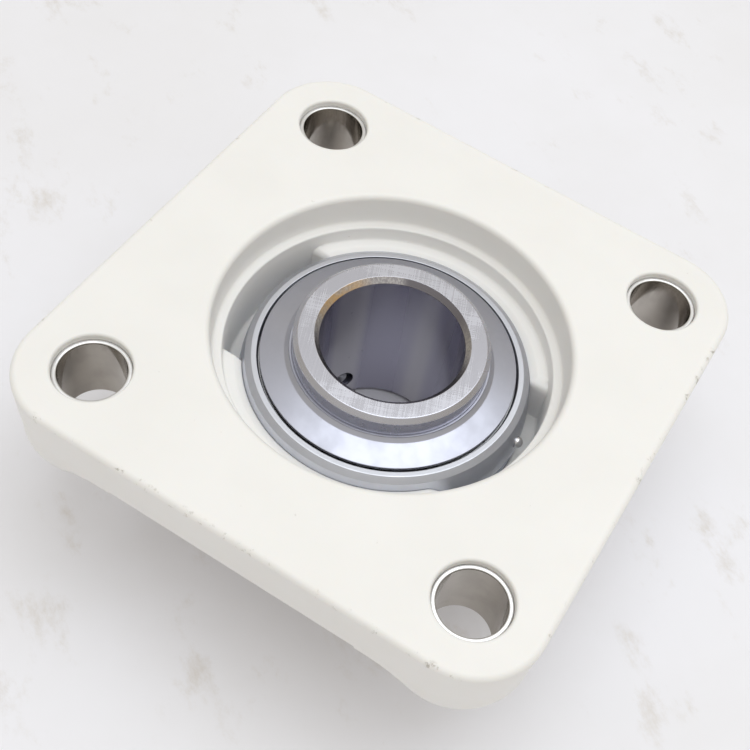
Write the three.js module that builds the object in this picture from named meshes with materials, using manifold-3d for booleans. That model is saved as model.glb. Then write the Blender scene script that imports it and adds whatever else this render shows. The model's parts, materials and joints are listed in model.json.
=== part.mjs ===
// Four-bolt flange mount bearing, size 205: a moulded square housing around a wide-inner-ring insert
// bearing with a spherical outer ring. Millimetres, +Z up. The origin is on the bearing axis at the
// front end of the inner ring, and the mounting face is the top face. X runs along the loading slots.
import * as THREE from 'three';
import { mergeVertices } from 'three/addons/utils/BufferGeometryUtils.js';
import Module from 'manifold-3d';

const wasm = await Module();
wasm.setup();

// ---- driving dimensions -------------------------------------------------------------------------
const RING_LONG = 19.8;          // bearing centre to the inner ring's front end
const RING_SHORT = 14.3;         // bearing centre to the inner ring's back end
const CENTRE_TO_FACE = 16.0;     // bearing centre to the mounting face
const BOLT_SPACING = 70.0;       // square bolt pattern
const CENTRE_Z = RING_LONG;
const FACE_Z = CENTRE_Z + CENTRE_TO_FACE;

const PLATE = { half: 47.5, corner: 12.5, depth: 10.8, edge: 1.0, draft: 0.5, arcSteps: 6 };
const BOSS = { topRadius: 11.9, radius: 11.6, chamfer: 0.7, depth: 14.6 };
const HUB = { frontZ: 7.8, frontRadius: 30.6, chamfer: 1.0, rootRadius: 34.0, fillet: 4.0 };
const RIB = { thickness: 6.0, inner: 30.0, crest: 32.0, outer: 42.0, frontZ: 12.8, footZ: 22.2 };
const SEAT_RADIUS = 26.25;
const FRONT_OPENING = { radius: 25.0, chamfer: 0.8, groove: 26.2, grooveLow: 9.2, grooveHigh: 10.4 };
const RECESS = {
  rim: 31.1, rimDrop: 0.7, wallTop: 30.5, wallFoot: 30.3, ledgeDepth: 6.2,
  stepTop: 28.65, stepFoot: 28.5, shoulderDepth: 9.0, lip: 26.6, lipDepth: 9.7,
};
const SLOT = { radius: RECESS.stepFoot, floorDepth: 18.0, left: [-14.4, 13.8], right: [-14.8, 11.8] };
const BOLT_HOLE = { radius: 6.55, edge: 0.4 };

const BUSHING = { bore: 5.5, outer: 6.35, chamfer: 0.2, topDepth: 1.15, bottomDepth: 14.6 };

const OUTER = {
  radius: 26.0, half: 8.5, faceOuter: 23.85, chamferZ: 7.75, mouth: 23.0, seatZ: 5.8,
  land: 21.8, landZ: 5.5, grooveHalf: 1.0, grooveDepth: 0.5,
};
const BALLS = { count: 9, radius: 3.969, pitch: 19.5, raceRadius: 4.15, raceGap: 0.25 };
const INNER = { bore: 12.5, boreChamfer: 0.9, radius: 17.0, chamfer: 0.8 };
const PIN = { radius: 1.05, hole: 1.2, inner: 24.1, holeFoot: 23.8, shank: 26.1, rise: 2.9, turn: 4.0 };

const FLINGER = {
  fit: 17.1, collarFoot: 9.0, collarTop: 10.5, collarOuter: 17.4, bend: 18.15, bendZ: 9.8,
  edge: 22.6, edgeZ: 8.7, wall: 0.6,
};
const SEAL = {
  lip: 17.15, lipTop: 7.7, lipFoot: 7.3, heel: 18.05, root: 18.65, outer: 22.85, low: 6.0, high: 7.1,
  insertInner: 18.9, insertOuter: 22.7, insertLow: 7.2, insertHigh: 7.6,
};

const CAGE = { inner: 18.0, outer: 21.0, pocket: 4.2, wall: 0.6, split: 0.1, arcSteps: 6 };
const RIVET = {
  shank: 0.5, hole: 0.62, holeLength: 4.0, head: 0.95, headLow: 0.78, crown: 0.95, headHigh: 1.25,
};

const SCREW = {
  radius: 2.85, hole: 3.1, holeFrom: 10.5, holeTo: 19.0, z: 5.0, turns: [153, 273],
  tip: 13.1, cup: 1.2, cupFoot: 13.7, rim: 1.5, cone: 14.3, end: 18.6, chamfer: 0.4,
  socket: 1.5, socketFoot: 16.0,
};
const NIPPLE = {
  turn: 90, boss: 5.6, bossFoot: 28.2, bossFace: 34.6, spotFace: 4.9, channel: 1.0,
  threadHole: 3.1, threadHoleFoot: 28.4, thread: 2.9, threadFoot: 28.8, hex: 4.04, hexLow: 34.85,
  hexHigh: 37.6, collar: 0.3, bore: 0.7, neck: 1.7, neckTop: 40.5, head: 2.3, headLow: 41.1,
  headHigh: 42.1, mouth: 1.3, tip: 43.3,
};

const FINE = 40;                 // facets of the large turned pieces
const MEDIUM = 30;               // facets of the seals
const COARSE = 20;               // facets of the bosses, bolt holes and bushings
const RACE_STEPS = 4;            // chords of a raceway's section
const SEAT_STEPS = 5;            // chords of the spherical seat's section
const ROUND_STEPS = 3;           // chords of a fillet
const SPHERE_STEPS = 2;          // chords of each half of the outer ring's sphere, and of the pin's dome
const SMALL = 12;                // facets of the balls, screws and pin
const BALL_ROWS = 8;             // rows of facets from pole to pole of a ball
const SIX = 6;                   // hexagons, and the smallest round pieces
const OVERRUN = 1.0;             // how far a cutting tool runs past the face it cuts

// ---- geometry helpers ---------------------------------------------------------------------------
const radians = THREE.MathUtils.degToRad;
const point = (x, y) => new THREE.Vector2(x, y);

function closedSurface(geometry) {
  const bare = geometry.clone();
  bare.deleteAttribute('normal');
  bare.deleteAttribute('uv');
  return mergeVertices(bare, 1e-4);
}

function toSolid(geometry) {
  const merged = closedSurface(geometry);
  return new wasm.Manifold(new wasm.Mesh({
    numProp: 3,
    vertProperties: new Float32Array(merged.attributes.position.array),
    triVerts: new Uint32Array(merged.index.array),
  }));
}

function toGeometry(solid) {
  const mesh = solid.getMesh();
  const geometry = new THREE.BufferGeometry();
  geometry.setAttribute('position', new THREE.BufferAttribute(new Float32Array(mesh.vertProperties), 3));
  geometry.setIndex(new THREE.BufferAttribute(new Uint32Array(mesh.triVerts), 1));
  return geometry;
}

// A solid turned about Z from [radius, z] points listed anticlockwise, so its faces point outwards.
function turned(profile, facets) {
  const points = profile.map(([r, z]) => point(r, z));
  const onAxis = profile[0][0] === 0 && profile.at(-1)[0] === 0;
  if (!onAxis) points.push(points[0].clone());
  return new THREE.LatheGeometry(points, facets).rotateX(Math.PI / 2);
}

// Points on a circle in the [radius, z] plane, from one angle to another, both ends included.
function arc(centreR, centreZ, radius, from, to, steps) {
  return Array.from({ length: steps + 1 }, (_, i) => {
    const a = radians(from + (to - from) * i / steps);
    return [centreR + radius * Math.cos(a), centreZ + radius * Math.sin(a)];
  });
}

const mirrored = (profile) => profile.map(([r, z]) => [r, -z]).reverse();

function box(x0, x1, y0, y1, z0, z1) {
  const geometry = new THREE.BoxGeometry(x1 - x0, y1 - y0, z1 - z0);
  return geometry.translate((x0 + x1) / 2, (y0 + y1) / 2, (z0 + z1) / 2);
}

// A cylinder whose axis runs along local X from one radius to another.
function radialCylinder(radius, from, to, facets) {
  const geometry = new THREE.CylinderGeometry(radius, radius, to - from, facets);
  return geometry.rotateZ(Math.PI / 2).translate((from + to) / 2, 0, 0);
}

// A closed skin through rings with the same number of points, listed from the bottom up.
function lofted(rings) {
  const count = rings[0].length;
  const positions = rings.flat().flatMap((v) => v.toArray());
  const index = [];
  for (let ring = 0; ring < rings.length - 1; ring += 1) {
    for (let i = 0; i < count; i += 1) {
      const a = ring * count + i;
      const b = ring * count + (i + 1) % count;
      index.push(a, b, b + count, a, b + count, a + count);
    }
  }
  const top = (rings.length - 1) * count;
  const outline = rings.at(-1).map((v) => point(v.x, v.y));
  for (const [a, b, c] of THREE.ShapeUtils.triangulateShape(outline, [])) {
    index.push(top + a, top + b, top + c, a, c, b);
  }
  const geometry = new THREE.BufferGeometry();
  geometry.setAttribute('position', new THREE.Float32BufferAttribute(positions, 3));
  geometry.setIndex(index);
  return geometry;
}

// ---- housing ------------------------------------------------------------------------------------
function roundedSquare(inset, z) {
  const centre = PLATE.half - PLATE.corner;
  const radius = PLATE.corner - inset;
  const corners = [[1, 1, 0], [-1, 1, 90], [-1, -1, 180], [1, -1, 270]];
  return corners.flatMap(([sx, sy, start]) => Array.from({ length: PLATE.arcSteps + 1 }, (_, i) => {
    const a = radians(start + 90 * i / PLATE.arcSteps);
    return new THREE.Vector3(sx * centre + radius * Math.cos(a), sy * centre + radius * Math.sin(a), z);
  }));
}

function plate() {
  return toSolid(lofted([
    roundedSquare(PLATE.draft, FACE_Z - PLATE.depth),
    roundedSquare(0, FACE_Z - PLATE.edge),
    roundedSquare(PLATE.edge, FACE_Z),
  ]));
}

function hub() {
  const rootZ = FACE_Z - PLATE.depth;
  return toSolid(turned([
    [0, HUB.frontZ],
    [HUB.frontRadius, HUB.frontZ],
    [HUB.frontRadius + HUB.chamfer, HUB.frontZ + HUB.chamfer],
    [HUB.rootRadius, rootZ - HUB.fillet],
    ...arc(HUB.rootRadius + HUB.fillet, rootZ - HUB.fillet, HUB.fillet, 180, 90, ROUND_STEPS).slice(1),
    [HUB.rootRadius + HUB.fillet, rootZ + OVERRUN],
    [0, rootZ + OVERRUN],
  ], FINE));
}

function boltBoss() {
  const foot = FACE_Z - BOSS.depth;
  const root = FACE_Z - PLATE.depth;
  return toSolid(turned([
    [0, foot],
    [BOSS.radius - BOSS.chamfer, foot],
    [BOSS.radius, foot + BOSS.chamfer],
    [BOSS.topRadius, root],
    [BOSS.topRadius, root + OVERRUN],
    [0, root + OVERRUN],
  ], COARSE));
}

// A tapered web in the plane of X and Z, from the hub's side down to the bolt boss.
function rib() {
  const root = FACE_Z - PLATE.depth + OVERRUN;
  const web = new THREE.Shape([
    point(RIB.inner, RIB.frontZ), point(RIB.crest, RIB.frontZ), point(RIB.outer, RIB.footZ),
    point(RIB.outer, root), point(RIB.inner, root),
  ]);
  const geometry = new THREE.ExtrudeGeometry(web, { depth: RIB.thickness, bevelEnabled: false });
  return toSolid(geometry.translate(0, 0, -RIB.thickness / 2).rotateX(Math.PI / 2));
}

// Everything that the insert bearing sits in, as one turned tool: front opening, spherical seat,
// shoulder, ledge and the recess behind the bearing.
function cavity() {
  const o = FRONT_OPENING;
  const ledge = FACE_Z - RECESS.ledgeDepth;
  const shoulder = FACE_Z - RECESS.shoulderDepth;
  const lip = FACE_Z - RECESS.lipDepth;
  const low = -THREE.MathUtils.radToDeg(Math.acos(o.radius / SEAT_RADIUS));
  const high = THREE.MathUtils.radToDeg(Math.asin((lip - CENTRE_Z) / SEAT_RADIUS));
  return toSolid(turned([
    [0, HUB.frontZ - OVERRUN],
    [o.radius + o.chamfer, HUB.frontZ - OVERRUN],
    [o.radius + o.chamfer, HUB.frontZ],
    [o.radius, HUB.frontZ + o.chamfer],
    [o.radius, o.grooveLow], [o.groove, o.grooveLow], [o.groove, o.grooveHigh], [o.radius, o.grooveHigh],
    ...arc(0, CENTRE_Z, SEAT_RADIUS, low, high, SEAT_STEPS),
    [RECESS.lip, shoulder],
    [RECESS.stepFoot, shoulder],
    [RECESS.stepTop, ledge],
    [RECESS.wallFoot, ledge],
    [RECESS.wallTop, FACE_Z - RECESS.rimDrop],
    [RECESS.rim, FACE_Z],
    [RECESS.rim, FACE_Z + OVERRUN],
    [0, FACE_Z + OVERRUN],
  ], FINE));
}

// A loading slot: the part of a round pocket between two planes, on one side of the axis.
function loadingSlot(side, [low, high]) {
  const foot = FACE_Z - SLOT.floorDepth;
  const head = FACE_Z - RECESS.shoulderDepth + OVERRUN;
  const pocket = toSolid(turned([[0, foot], [SLOT.radius, foot], [SLOT.radius, head], [0, head]], FINE));
  const reach = SLOT.radius + OVERRUN;
  const [x0, x1] = side > 0 ? [0, reach] : [-reach, 0];
  return pocket.intersect(toSolid(box(x0, x1, low, high, foot - OVERRUN, head + OVERRUN)));
}

function boltHole() {
  const foot = FACE_Z - BOSS.depth;
  const hole = BOLT_HOLE.radius;
  const mouth = hole + BOLT_HOLE.edge;
  return toSolid(turned([
    [0, foot - OVERRUN], [hole, foot - OVERRUN],
    [hole, FACE_Z - BOLT_HOLE.edge], [mouth, FACE_Z], [mouth, FACE_Z + OVERRUN],
    [0, FACE_Z + OVERRUN],
  ], COARSE));
}

const boltPlaces = [[-1, -1], [1, -1], [1, 1], [-1, 1]]
  .map(([sx, sy]) => [sx * BOLT_SPACING / 2, sy * BOLT_SPACING / 2]);

function atNipple(geometry) {
  return toSolid(geometry.rotateZ(radians(NIPPLE.turn)).translate(0, 0, CENTRE_Z));
}

// The drilled and tapped port under the grease nipple, with a spot face for its hexagon.
function nipplePort() {
  const n = NIPPLE;
  return atNipple(radialCylinder(n.spotFace, n.bossFace, n.tip, COARSE))
    .add(atNipple(radialCylinder(n.threadHole, n.threadHoleFoot, n.bossFace + OVERRUN, SMALL)))
    .add(atNipple(radialCylinder(n.channel, SEAT_RADIUS - OVERRUN, n.threadHoleFoot + OVERRUN, SIX)));
}

function housing() {
  let solid = plate().add(hub());
  for (const [x, y] of boltPlaces) solid = solid.add(boltBoss().translate(x, y, 0));
  for (const turn of [45, 135, 225, 315]) solid = solid.add(rib().rotate(0, 0, turn));
  solid = solid.add(atNipple(radialCylinder(NIPPLE.boss, NIPPLE.bossFoot, NIPPLE.bossFace, COARSE)));
  solid = solid.subtract(cavity()).subtract(nipplePort());
  solid = solid.subtract(loadingSlot(-1, SLOT.left)).subtract(loadingSlot(1, SLOT.right));
  for (const [x, y] of boltPlaces) solid = solid.subtract(boltHole().translate(x, y, 0));
  return toGeometry(solid);
}

function bushing() {
  const b = BUSHING;
  const low = FACE_Z - b.bottomDepth;
  const high = FACE_Z - b.topDepth;
  return turned([
    [b.bore, low + b.chamfer], [b.bore + b.chamfer, low], [b.outer, low], [b.outer, high],
    [b.bore + b.chamfer, high], [b.bore, high - b.chamfer],
  ], COARSE);
}

// ---- insert bearing, with z measured from the bearing's centre ----------------------------------
function outerRingProfile() {
  const o = OUTER;
  const end = THREE.MathUtils.radToDeg(Math.asin(o.chamferZ / o.radius));
  const groove = THREE.MathUtils.radToDeg(Math.asin(o.grooveHalf / o.radius));
  const raceCentre = BALLS.pitch + BALLS.radius + BALLS.raceGap - BALLS.raceRadius;
  const raceEnd = THREE.MathUtils.radToDeg(Math.acos((o.land - raceCentre) / BALLS.raceRadius));
  return [
    [o.mouth, -o.half], [o.faceOuter, -o.half],
    ...arc(0, 0, o.radius, -end, -groove, SPHERE_STEPS),
    [o.radius - o.grooveDepth, -o.grooveHalf], [o.radius - o.grooveDepth, o.grooveHalf],
    ...arc(0, 0, o.radius, groove, end, SPHERE_STEPS),
    [o.faceOuter, o.half], [o.mouth, o.half], [o.mouth, o.seatZ], [o.land, o.landZ],
    ...arc(raceCentre, 0, BALLS.raceRadius, raceEnd, -raceEnd, RACE_STEPS),
    [o.land, -o.landZ], [o.mouth, -o.seatZ],
  ];
}

// Turns a piece that lies along +X so that it lies along the pin's axis.
function alongPin(geometry) {
  const lift = Math.asin(PIN.rise / OUTER.radius);
  return geometry.rotateY(-lift).rotateZ(radians(PIN.turn));
}

function outerRing() {
  const hole = toSolid(alongPin(radialCylinder(PIN.hole, PIN.holeFoot, OUTER.radius + OVERRUN, SMALL)));
  return toGeometry(toSolid(turned(outerRingProfile(), FINE)).subtract(hole));
}

function pin() {
  const dome = arc(0, PIN.shank, PIN.radius, 0, 90, SPHERE_STEPS).slice(0, -1);
  const tip = [0, PIN.shank + PIN.radius];
  const geometry = turned([[0, PIN.inner], [PIN.radius, PIN.inner], ...dome, tip], SMALL);
  return alongPin(geometry.rotateY(Math.PI / 2));
}

function innerRingProfile() {
  const n = INNER;
  const raceCentre = BALLS.pitch - BALLS.radius - BALLS.raceGap + BALLS.raceRadius;
  const raceEnd = THREE.MathUtils.radToDeg(Math.acos((raceCentre - n.radius) / BALLS.raceRadius));
  return [
    [n.bore, -RING_LONG + n.boreChamfer], [n.bore + n.boreChamfer, -RING_LONG],
    [n.radius - n.chamfer, -RING_LONG], [n.radius, -RING_LONG + n.chamfer],
    ...arc(raceCentre, 0, BALLS.raceRadius, 180 + raceEnd, 180 - raceEnd, RACE_STEPS),
    [n.radius, RING_SHORT - n.chamfer], [n.radius - n.chamfer, RING_SHORT],
    [n.bore + n.boreChamfer, RING_SHORT], [n.bore, RING_SHORT - n.boreChamfer],
  ];
}

function atScrew(geometry, turn) {
  return geometry.rotateZ(radians(turn)).translate(0, 0, SCREW.z - CENTRE_Z);
}

function innerRing() {
  let solid = toSolid(turned(innerRingProfile(), FINE));
  for (const turn of SCREW.turns) {
    const hole = radialCylinder(SCREW.hole, SCREW.holeFrom, SCREW.holeTo, SMALL);
    solid = solid.subtract(toSolid(atScrew(hole, turn)));
  }
  return toGeometry(solid);
}

// A grub screw lying along +X: cup point towards the axis and a hexagon socket outwards.
function setScrew(turn) {
  const s = SCREW;
  const shank = turned([
    [0, s.cupFoot], [s.cup, s.tip], [s.rim, s.tip], [s.radius, s.cone],
    [s.radius, s.end - s.chamfer], [s.radius - s.chamfer, s.end], [0, s.end],
  ], SMALL).rotateY(Math.PI / 2);
  const socket = radialCylinder(s.socket / Math.cos(Math.PI / 6), s.socketFoot, s.end + OVERRUN, SIX);
  return atScrew(toGeometry(toSolid(shank).subtract(toSolid(socket))), turn);
}

function flingerProfile() {
  const f = FLINGER;
  return [
    [f.fit, f.collarFoot], [f.bend, f.bendZ - f.wall], [f.edge, f.edgeZ - f.wall],
    [f.edge, f.edgeZ], [f.bend, f.bendZ], [f.collarOuter, f.collarTop], [f.fit, f.collarTop],
  ];
}

function sealLipProfile() {
  const s = SEAL;
  return [
    [s.heel, s.low], [s.outer, s.low], [s.outer, s.high], [s.root, s.high],
    [s.heel, s.lipTop], [s.lip, s.lipTop], [s.lip, s.lipFoot],
  ];
}

function sealInsertProfile() {
  const s = SEAL;
  return [
    [s.insertInner, s.insertLow], [s.insertOuter, s.insertLow],
    [s.insertOuter, s.insertHigh], [s.insertInner, s.insertHigh],
  ];
}

function ball(index) {
  const geometry = new THREE.SphereGeometry(BALLS.radius, SMALL, BALL_ROWS).rotateX(Math.PI / 2);
  return geometry.translate(BALLS.pitch, 0, 0).rotateZ(2 * Math.PI * index / BALLS.count);
}

// One pitch of the cage ribbon, as a lower and an upper [distance along the pitch circle, z] for each
// section: a flat stretch between two balls, then the pocket over the next ball.
function ribbonPitch() {
  const c = CAGE;
  const halfPitch = Math.PI * BALLS.pitch / BALLS.count;
  const skins = [[c.pocket, c.split], [c.pocket + c.wall, c.split + c.wall]].map(([radius, z]) => {
    const start = THREE.MathUtils.radToDeg(Math.asin(z / radius));
    return [[-halfPitch, z], ...arc(0, 0, radius, 180 - start, start, c.arcSteps)];
  });
  return skins[0].map((low, i) => ({ low, high: skins[1][i] }));
}

// A section of the ribbon wrapped round the bearing's axis, as four [x, y, z] corners.
function ribbonSection({ low, high }, index) {
  const corners = [[CAGE.inner, ...low], [CAGE.outer, ...low], [CAGE.outer, ...high], [CAGE.inner, ...high]];
  return corners.map(([radius, along, z]) => {
    const a = along / BALLS.pitch + 2 * Math.PI * index / BALLS.count;
    return [radius * Math.cos(a), radius * Math.sin(a), z];
  });
}

// A closed band through sections with equally many corners.
function closedBand(sections) {
  const count = sections[0].length;
  const total = sections.length * count;
  const index = sections.flatMap((section, i) => section.flatMap((_, corner) => {
    const a = i * count + corner;
    const b = i * count + (corner + 1) % count;
    const [c, d] = [(a + count) % total, (b + count) % total];
    return [a, c, d, a, d, b];
  }));
  const band = new THREE.BufferGeometry();
  band.setAttribute('position', new THREE.Float32BufferAttribute(sections.flat(2), 3));
  band.setIndex(index);
  return band;
}

const ballIndexes = Array.from({ length: BALLS.count }, (_, k) => k);

function betweenBalls(geometry, index) {
  return geometry.translate(BALLS.pitch, 0, 0).rotateZ(2 * Math.PI * (index + 0.5) / BALLS.count);
}

// The back half of the ribbon cage, with a rivet hole between each two balls.
function cageHalf() {
  let solid = toSolid(closedBand(ballIndexes.flatMap((k) => (
    ribbonPitch().map((section) => ribbonSection(section, k))))));
  for (const k of ballIndexes) {
    const hole = new THREE.CylinderGeometry(RIVET.hole, RIVET.hole, RIVET.holeLength, SIX);
    solid = solid.subtract(toSolid(betweenBalls(hole.rotateX(Math.PI / 2), k)));
  }
  return toGeometry(solid);
}

function rivet(index) {
  const r = RIVET;
  const upper = [[r.shank, r.headLow], [r.head, r.headLow], [r.head, r.crown], [0, r.headHigh]];
  return betweenBalls(turned([...mirrored(upper), ...upper], SIX), index);
}

// ---- grease nipple, lying along +X before it is turned into place -------------------------------
function greaseNipple() {
  const n = NIPPLE;
  const body = turned([
    [0, n.threadFoot], [n.thread, n.threadFoot], [n.thread, n.hexLow + n.collar],
    [n.neck, n.hexHigh - n.collar], [n.neck, n.neckTop], [n.head, n.headLow], [n.head, n.headHigh],
    [n.mouth, n.tip], [0, n.tip],
  ], SMALL).rotateY(Math.PI / 2);
  const hex = atNipple(radialCylinder(n.hex, n.hexLow, n.hexHigh, SIX));
  const bore = atNipple(radialCylinder(n.bore, n.threadFoot - OVERRUN, n.tip + OVERRUN, SIX));
  return toGeometry(atNipple(body).add(hex).subtract(bore));
}

// ---- assembly -----------------------------------------------------------------------------------
const finish = (color, roughness, metalness) =>
  new THREE.MeshStandardMaterial({ color, roughness, metalness });

const materials = {
  whitePlastic: finish(0xf1f1ee, 0.5, 0),
  bushingSteel: finish(0xb5b3b4, 0.2, 1),
  ringSteel: finish(0xc4c4ca, 0.28, 1),
  pressedSteel: finish(0xa9abb3, 0.35, 1),
  ballSteel: finish(0xd4d6d8, 0.08, 1),
  sealRubber: finish(0x23252a, 0.75, 0),
};

const bearing = new THREE.Group();
bearing.position.z = CENTRE_Z;
const assembly = new THREE.Group();
assembly.add(bearing);

function place(parent, name, geometry, material, x = 0, y = 0) {
  const mesh = new THREE.Mesh(geometry, material);
  mesh.name = name;
  mesh.position.set(x, y, 0);
  parent.add(mesh);
}

place(assembly, 'housing', housing(), materials.whitePlastic);
boltPlaces.forEach(([x, y], i) => {
  place(assembly, `bolt_bushing_${i + 1}`, bushing(), materials.bushingSteel, x, y);
});
place(assembly, 'grease_nipple', greaseNipple(), materials.bushingSteel);

place(bearing, 'outer_ring', outerRing(), materials.ringSteel);
place(bearing, 'anti_rotation_pin', pin(), materials.ballSteel);
place(bearing, 'inner_ring', innerRing(), materials.ringSteel);
SCREW.turns.forEach((turn, i) => {
  place(bearing, `set_screw_${i + 1}`, setScrew(turn), materials.bushingSteel);
});

const sides = [['back', (profile) => profile], ['front', mirrored]];
for (const [side, facing] of sides) {
  place(bearing, `flinger_${side}`, turned(facing(flingerProfile()), FINE), materials.pressedSteel);
  place(bearing, `seal_lip_${side}`, turned(facing(sealLipProfile()), MEDIUM), materials.sealRubber);
  place(bearing, `seal_insert_${side}`, turned(facing(sealInsertProfile()), MEDIUM),
    materials.pressedSteel);
}

place(bearing, 'cage_half_back', cageHalf(), materials.pressedSteel);
place(bearing, 'cage_half_front', cageHalf().rotateX(Math.PI), materials.pressedSteel);
for (const k of ballIndexes) {
  place(bearing, `ball_${k + 1}`, ball(k), materials.ballSteel);
  place(bearing, `cage_rivet_${k + 1}`, rivet(k), materials.pressedSteel);
}

export default assembly;
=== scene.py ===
"""Looks of the flange mount bearing, size 205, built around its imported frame.

Shapes are made in millimetres and scaled to metres when they are done. Each fine piece stands for one
CAD node, rides on that node's body and takes that node's material slot.
"""
import json
import math
from types import SimpleNamespace as Sizes

import bmesh
import bpy
from mathutils import Matrix, Vector, noise


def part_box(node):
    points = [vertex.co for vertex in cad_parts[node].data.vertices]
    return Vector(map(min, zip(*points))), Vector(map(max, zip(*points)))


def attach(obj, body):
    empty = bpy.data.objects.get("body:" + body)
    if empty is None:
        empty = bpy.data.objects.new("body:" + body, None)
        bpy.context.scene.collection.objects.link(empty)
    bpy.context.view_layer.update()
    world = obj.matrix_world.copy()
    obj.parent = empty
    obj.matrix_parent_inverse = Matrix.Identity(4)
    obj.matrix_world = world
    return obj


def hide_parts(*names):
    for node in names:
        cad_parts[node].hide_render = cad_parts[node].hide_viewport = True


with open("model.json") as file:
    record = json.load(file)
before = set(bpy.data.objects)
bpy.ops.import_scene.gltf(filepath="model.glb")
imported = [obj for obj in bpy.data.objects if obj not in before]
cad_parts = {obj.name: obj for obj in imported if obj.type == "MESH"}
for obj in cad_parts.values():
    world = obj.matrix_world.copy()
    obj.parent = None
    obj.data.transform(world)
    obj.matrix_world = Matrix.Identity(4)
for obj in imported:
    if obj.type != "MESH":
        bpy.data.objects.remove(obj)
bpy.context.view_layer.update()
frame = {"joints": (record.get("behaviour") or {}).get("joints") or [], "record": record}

# ---- sizes in millimetres, from the frame where it has them ---------------------------------------
MM = 0.001


def box_mm(node):
    low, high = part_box(node)
    return low / MM, high / MM


FACE = box_mm("housing")[1].z
SIDE = box_mm("housing")[1].x
HUB_FRONT = box_mm("housing")[0].z
RING_FRONT, RING_BACK = (corner.z for corner in box_mm("inner_ring"))
CENTRE = [joint for joint in frame["joints"] if joint["name"] == "inner_ring_spin"][0]["pos_m"][2] / MM
BOLT = sum(corner.x for corner in box_mm("bolt_bushing_3")) / 2
BOLT_PLACES = [(-BOLT, -BOLT), (BOLT, -BOLT), (BOLT, BOLT), (-BOLT, BOLT)]

# The housing. The plate's moulded sides waver by up to `waver`, in a pattern that `waver_scale` sets.
PLATE = Sizes(corner=12.5, depth=10.8, draft=0.5, top_edge=1.0, low_edge=0.7, cap=6.0, waver=0.12,
              waver_scale=0.35, side_steps=90, corner_steps=20)
PLATE_FOOT = FACE - PLATE.depth
BOSS = Sizes(foot=FACE - 14.6, radius=11.6, root_radius=11.85, edge=0.9, flare=3.6, reach=17.0, overlap=2.0,
             limit_top=2.5)
HUB = Sizes(radius=31.6, edge=1.0, root=34.0, fillet=4.0, reach=39.0)
RIB = Sizes(width=6.0, inner=30.0, crest=32.0, outer=42.0, front=12.8, foot=22.2, round=1.0, edge=0.3,
            turns=(45, 135, 225, 315), middle=(36.0, 19.0), middle_reach=20)
FRONT = Sizes(mouth=25.8, radius=25.0, chamfer=0.8, groove=26.2, groove_low=9.2, groove_high=10.4,
              chamfer_round=0.2, groove_round=0.15)
SEAT = 26.06
RECESS = Sizes(rim_round=1.15, top=30.64, foot=30.3, foot_round=0.5, ledge=6.2, ledge_round=0.3,
               step_top=28.65, step_foot=28.5, shoulder=9.0, shoulder_round=0.35, lip=26.6, lip_round=0.8,
               lip_depth=9.7, clear=2.0)
# A slot has a near and a far end wall. `left` and `right` give their places along Y, and `left_rounds` and
# `right_rounds` the rounding of their top edges.
SLOT = Sizes(floor=18.0, floor_round=0.5, left=(-14.4, 13.8), left_rounds=(0.25, 1.6), right=(-14.8, 11.8),
             right_rounds=(5.0, 1.6), inner=10, past_wall=4, lift=0.1, steps=12)
BOLT_HOLE = Sizes(radius=6.37, mouth_round=0.55, foot_round=0.3)
BUSHING = Sizes(bore=5.5, outer=6.35, low=FACE - 14.6, high=FACE - 1.15, edge=0.3)

# The insert bearing, with heights measured from its centre.
OUTER = Sizes(radius=26.0, half=8.5, flat=23.75, sphere_z=7.75, mouth=22.8, seat_z=5.8, land=21.8,
              land_drop=0.3, groove_half=1.0, groove_depth=0.5, edge=0.3, mouth_edge=0.12, fine_edge=0.1)
BALL = Sizes(count=9, radius=3.969, pitch=19.5, race=4.12, gap=0.06)
INNER = Sizes(bore=12.5, bore_chamfer=0.9, radius=17.0, chamfer=0.8, front=RING_FRONT - CENTRE,
              back=RING_BACK - CENTRE, edge=0.3, bore_edge=0.15, face_edge=0.12)
PIN = Sizes(radius=1.05, inner=24.1, shank=26.1, rise=2.9, turn=4.0, hole=1.12, hole_foot=23.8, hole_end=28)
FLINGER = Sizes(fit=17.01, foot=9.0, top=10.5, ramp=17.45, ramp_z=10.3, bend=18.2, bend_z=9.78, edge=22.38,
                edge_z=8.72, wall=0.6, inside=0.1, draft=0.05)
SEAL = Sizes(lip=17.1, lip_top=7.7, lip_foot=7.3, heel=18.05, root=18.65, outer=22.75, low=6.0, high=7.1,
             insert_inner=18.9, insert_outer=22.6, insert_low=7.2, insert_high=7.6)
CAGE = Sizes(inner=18.0, outer=21.0, pocket=4.15, wall=0.6, split=0.05, edge=0.12, pocket_steps=20)
RIVET = Sizes(shank=0.5, hole=0.6, hole_reach=2, head=0.95, head_low=0.7, head_high=1.2, shoulder=0.93,
              shoulder_rise=0.25, crown=0.6, crown_drop=0.08)
SCREW = Sizes(radius=2.4, thread_depth=0.4, pitch=0.75, hole=2.47, z=5.0 - CENTRE, turns=(153, 273), tip=13.1,
              cup=1.2, cup_foot=0.3, cup_depth=0.7, cup_edge=0.05, cup_rim=0.1, cup_land=0.3,
              cone=14.0, end=18.6, socket=1.5, socket_foot=16.0, mouth_depth=0.4, mouth_round=0.1,
              mouth_flare=1.4)

# The grease nipple, with distances measured outwards from the bearing axis.
NIPPLE = Sizes(turn=90, boss=5.6, boss_foot=28.2, boss_face=34.6, boss_round=0.6, spot=4.9, channel=1.0,
               thread_hole=3.1, hole_foot=28.4, thread=2.9, thread_foot=28.8, hexagon=4.04, hex_low=34.85,
               hex_high=37.6, hex_chamfer=0.3, hex_reach=0.1, bore=0.7, neck=1.7, neck_flare=0.9,
               neck_step=0.4, neck_top=40.5, head=2.3, head_low=41.1, head_high=42.1, mouth=1.3, tip=43.3)

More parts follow.
